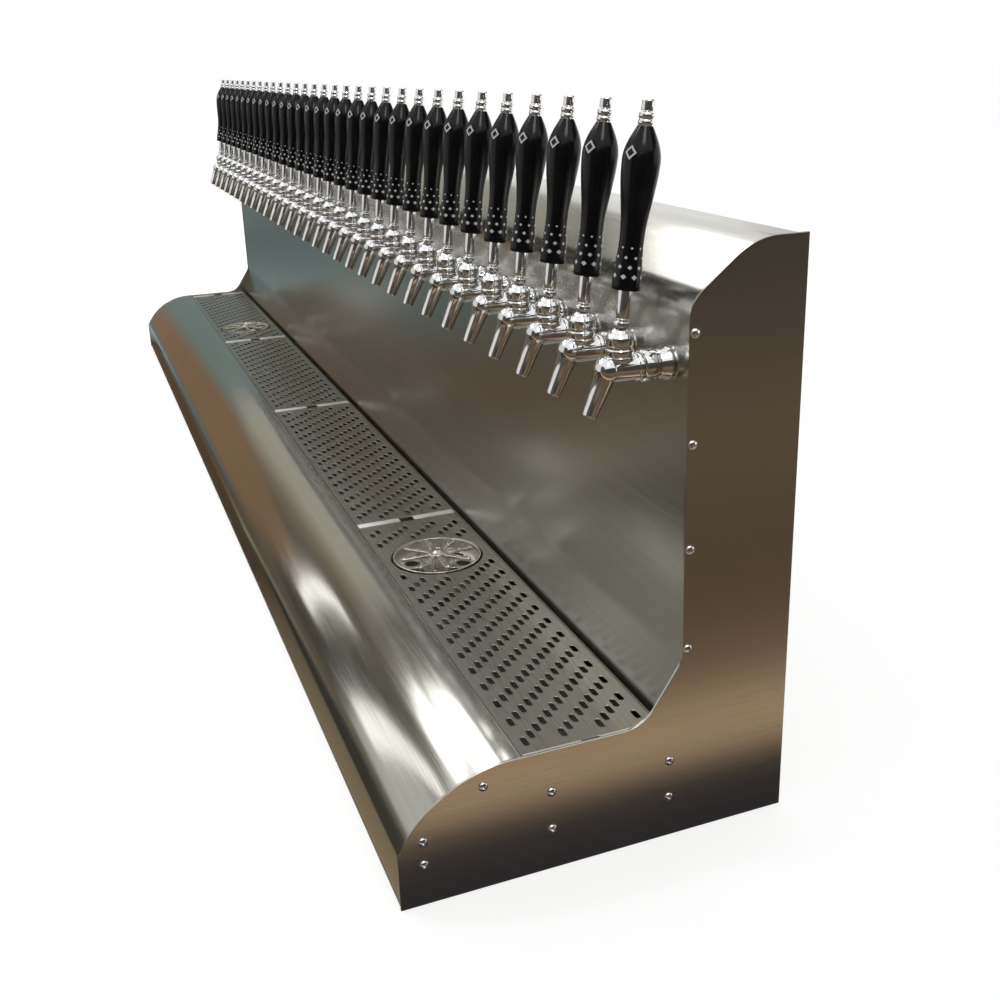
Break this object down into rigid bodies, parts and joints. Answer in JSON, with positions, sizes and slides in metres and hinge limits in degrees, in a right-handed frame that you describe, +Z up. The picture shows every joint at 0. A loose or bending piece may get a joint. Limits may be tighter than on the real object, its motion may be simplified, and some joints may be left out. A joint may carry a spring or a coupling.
{
  "type": "draft beer tower",
  "caption": "Long stainless countertop beer tower: a row of lever taps with black handles on a rounded wall over a perforated drip tray with glass rinsers.",
  "frame": {"origin": "middle of the underside", "axes": "+X along the counter to the right seen from the front, +Y to the back, +Z up"},
  "size_m": [2.4432, 0.398, 0.6889],
  "materials": {
    "panel_steel": "satin brushed stainless plate",
    "brushed_sheet": "bright brushed stainless sheet",
    "dark_sheet": "mill finish stainless sheet",
    "grate_steel": "perforated satin stainless",
    "rinser_head": "satin stainless",
    "polished": "polished chrome",
    "handle_black": "semi-gloss black"
  },
  "bodies": {
    "tower": {"end_panel_left": "panel_steel", "end_panel_right": "panel_steel", "tower_skin": "brushed_sheet", "front_apron": "brushed_sheet", "rear_cover": "brushed_sheet", "base_plate": "dark_sheet", "drip_pan": "dark_sheet", "tray_rail_front": "dark_sheet", "tray_rail_rear": "dark_sheet", "shank_bar": "dark_sheet", "end_panel_screws": "polished", "rear_cover_screws": "polished", "faucet_bodies": "polished", "faucet_bonnets": "polished", "coupling_nuts": "polished", "shanks": "polished", "shank_flanges": "polished", "shank_locknuts": "polished", "tail_nuts": "polished", "tail_pieces": "polished", "drain_outlets": "polished", "pan_locknuts": "polished", "rinser_cups": "polished"},
    "grate_1": {"drip_grate_1": "grate_steel"},
    "grate_2": {"drip_grate_2": "grate_steel"},
    "grate_3": {"drip_grate_3": "grate_steel"},
    "grate_4": {"drip_grate_4": "grate_steel"},
    "rinser_1": {"rinser_star_1": "rinser_head"},
    "rinser_2": {"rinser_star_2": "rinser_head"},
    "tap_01": {"tap_handle_01": "handle_black"},
    "tap_02": {"tap_handle_02": "handle_black"},
    "tap_03": {"tap_handle_03": "handle_black"},
    "tap_04": {"tap_handle_04": "handle_black"},
    "tap_05": {"tap_handle_05": "handle_black"},
    "tap_06": {"tap_handle_06": "handle_black"},
    "tap_07": {"tap_handle_07": "handle_black"},
    "tap_08": {"tap_handle_08": "handle_black"},
    "tap_09": {"tap_handle_09": "handle_black"},
    "tap_10": {"tap_handle_10": "handle_black"},
    "tap_11": {"tap_handle_11": "handle_black"},
    "tap_12": {"tap_handle_12": "handle_black"},
    "tap_13": {"tap_handle_13": "handle_black"},
    "tap_14": {"tap_handle_14": "handle_black"},
    "tap_15": {"tap_handle_15": "handle_black"},
    "tap_16": {"tap_handle_16": "handle_black"},
    "tap_17": {"tap_handle_17": "handle_black"},
    "tap_18": {"tap_handle_18": "handle_black"},
    "tap_19": {"tap_handle_19": "handle_black"},
    "tap_20": {"tap_handle_20": "handle_black"},
    "tap_21": {"tap_handle_21": "handle_black"},
    "tap_22": {"tap_handle_22": "handle_black"},
    "tap_23": {"tap_handle_23": "handle_black"},
    "tap_24": {"tap_handle_24": "handle_black"},
    "tap_25": {"tap_handle_25": "handle_black"},
    "tap_26": {"tap_handle_26": "handle_black"},
    "tap_27": {"tap_handle_27": "handle_black"},
    "tap_28": {"tap_handle_28": "handle_black"},
    "tap_29": {"tap_handle_29": "handle_black"},
    "tap_30": {"tap_handle_30": "handle_black"},
    "tap_31": {"tap_handle_31": "handle_black"}
  },
  "joints": [
    {"name": "grate_1_lift", "type": "slide", "parent": "tower", "child": "grate_1", "axis": [0, 0, 1], "range_m": [0, 0.15]},
    {"name": "grate_2_lift", "type": "slide", "parent": "tower", "child": "grate_2", "axis": [0, 0, 1], "range_m": [0, 0.15]},
    {"name": "grate_3_lift", "type": "slide", "parent": "tower", "child": "grate_3", "axis": [0, 0, 1], "range_m": [0, 0.15]},
    {"name": "grate_4_lift", "type": "slide", "parent": "tower", "child": "grate_4", "axis": [0, 0, 1], "range_m": [0, 0.15]},
    {"name": "rinser_1_press", "type": "slide", "parent": "tower", "child": "rinser_1", "axis": [0, 0, -1], "range_m": [0, 0.008], "stiffness_N_per_m": 600, "springref_m": -0.006},
    {"name": "rinser_2_press", "type": "slide", "parent": "tower", "child": "rinser_2", "axis": [0, 0, -1], "range_m": [0, 0.008], "stiffness_N_per_m": 600, "springref_m": -0.006},
    {"name": "tap_01_pull", "type": "hinge", "parent": "tower", "child": "tap_01", "pos_m": [-1.17987, 0.037, 0.492], "axis": [1, 0, 0], "range_deg": [0, 38]},
    {"name": "tap_02_pull", "type": "hinge", "parent": "tower", "child": "tap_02", "pos_m": [-1.10121, 0.037, 0.492], "axis": [1, 0, 0], "range_deg": [0, 38]},
    {"name": "tap_03_pull", "type": "hinge", "parent": "tower", "child": "tap_03", "pos_m": [-1.02256, 0.037, 0.492], "axis": [1, 0, 0], "range_deg": [0, 38]},
    {"name": "tap_04_pull", "type": "hinge", "parent": "tower", "child": "tap_04", "pos_m": [-0.9439, 0.037, 0.492], "axis": [1, 0, 0], "range_deg": [0, 38]},
    {"name": "tap_05_pull", "type": "hinge", "parent": "tower", "child": "tap_05", "pos_m": [-0.86524, 0.037, 0.492], "axis": [1, 0, 0], "range_deg": [0, 38]},
    {"name": "tap_06_pull", "type": "hinge", "parent": "tower", "child": "tap_06", "pos_m": [-0.78658, 0.037, 0.492], "axis": [1, 0, 0], "range_deg": [0, 38]},
    {"name": "tap_07_pull", "type": "hinge", "parent": "tower", "child": "tap_07", "pos_m": [-0.70792, 0.037, 0.492], "axis": [1, 0, 0], "range_deg": [0, 38]},
    {"name": "tap_08_pull", "type": "hinge", "parent": "tower", "child": "tap_08", "pos_m": [-0.62926, 0.037, 0.492], "axis": [1, 0, 0], "range_deg": [0, 38]},
    {"name": "tap_09_pull", "type": "hinge", "parent": "tower", "child": "tap_09", "pos_m": [-0.55061, 0.037, 0.492], "axis": [1, 0, 0], "range_deg": [0, 38]},
    {"name": "tap_10_pull", "type": "hinge", "parent": "tower", "child": "tap_10", "pos_m": [-0.47195, 0.037, 0.492], "axis": [1, 0, 0], "range_deg": [0, 38]},
    {"name": "tap_11_pull", "type": "hinge", "parent": "tower", "child": "tap_11", "pos_m": [-0.39329, 0.037, 0.492], "axis": [1, 0, 0], "range_deg": [0, 38]},
    {"name": "tap_12_pull", "type": "hinge", "parent": "tower", "child": "tap_12", "pos_m": [-0.31463, 0.037, 0.492], "axis": [1, 0, 0], "range_deg": [0, 38]},
    {"name": "tap_13_pull", "type": "hinge", "parent": "tower", "child": "tap_13", "pos_m": [-0.23597, 0.037, 0.492], "axis": [1, 0, 0], "range_deg": [0, 38]},
    {"name": "tap_14_pull", "type": "hinge", "parent": "tower", "child": "tap_14", "pos_m": [-0.15732, 0.037, 0.492], "axis": [1, 0, 0], "range_deg": [0, 38]},
    {"name": "tap_15_pull", "type": "hinge", "parent": "tower", "child": "tap_15", "pos_m": [-0.07866, 0.037, 0.492], "axis": [1, 0, 0], "range_deg": [0, 38]},
    {"name": "tap_16_pull", "type": "hinge", "parent": "tower", "child": "tap_16", "pos_m": [0, 0.037, 0.492], "axis": [1, 0, 0], "range_deg": [0, 38]},
    {"name": "tap_17_pull", "type": "hinge", "parent": "tower", "child": "tap_17", "pos_m": [0.07866, 0.037, 0.492], "axis": [1, 0, 0], "range_deg": [0, 38]},
    {"name": "tap_18_pull", "type": "hinge", "parent": "tower", "child": "tap_18", "pos_m": [0.15732, 0.037, 0.492], "axis": [1, 0, 0], "range_deg": [0, 38]},
    {"name": "tap_19_pull", "type": "hinge", "parent": "tower", "child": "tap_19", "pos_m": [0.23597, 0.037, 0.492], "axis": [1, 0, 0], "range_deg": [0, 38]},
    {"name": "tap_20_pull", "type": "hinge", "parent": "tower", "child": "tap_20", "pos_m": [0.31463, 0.037, 0.492], "axis": [1, 0, 0], "range_deg": [0, 38]},
    {"name": "tap_21_pull", "type": "hinge", "parent": "tower", "child": "tap_21", "pos_m": [0.39329, 0.037, 0.492], "axis": [1, 0, 0], "range_deg": [0, 38]},
    {"name": "tap_22_pull", "type": "hinge", "parent": "tower", "child": "tap_22", "pos_m": [0.47195, 0.037, 0.492], "axis": [1, 0, 0], "range_deg": [0, 38]},
    {"name": "tap_23_pull", "type": "hinge", "parent": "tower", "child": "tap_23", "pos_m": [0.55061, 0.037, 0.492], "axis": [1, 0, 0], "range_deg": [0, 38]},
    {"name": "tap_24_pull", "type": "hinge", "parent": "tower", "child": "tap_24", "pos_m": [0.62926, 0.037, 0.492], "axis": [1, 0, 0], "range_deg": [0, 38]},
    {"name": "tap_25_pull", "type": "hinge", "parent": "tower", "child": "tap_25", "pos_m": [0.70792, 0.037, 0.492], "axis": [1, 0, 0], "range_deg": [0, 38]},
    {"name": "tap_26_pull", "type": "hinge", "parent": "tower", "child": "tap_26", "pos_m": [0.78658, 0.037, 0.492], "axis": [1, 0, 0], "range_deg": [0, 38]},
    {"name": "tap_27_pull", "type": "hinge", "parent": "tower", "child": "tap_27", "pos_m": [0.86524, 0.037, 0.492], "axis": [1, 0, 0], "range_deg": [0, 38]},
    {"name": "tap_28_pull", "type": "hinge", "parent": "tower", "child": "tap_28", "pos_m": [0.9439, 0.037, 0.492], "axis": [1, 0, 0], "range_deg": [0, 38]},
    {"name": "tap_29_pull", "type": "hinge", "parent": "tower", "child": "tap_29", "pos_m": [1.02256, 0.037, 0.492], "axis": [1, 0, 0], "range_deg": [0, 38]},
    {"name": "tap_30_pull", "type": "hinge", "parent": "tower", "child": "tap_30", "pos_m": [1.10121, 0.037, 0.492], "axis": [1, 0, 0], "range_deg": [0, 38]},
    {"name": "tap_31_pull", "type": "hinge", "parent": "tower", "child": "tap_31", "pos_m": [1.17987, 0.037, 0.492], "axis": [1, 0, 0], "range_deg": [0, 38]}
  ]
}
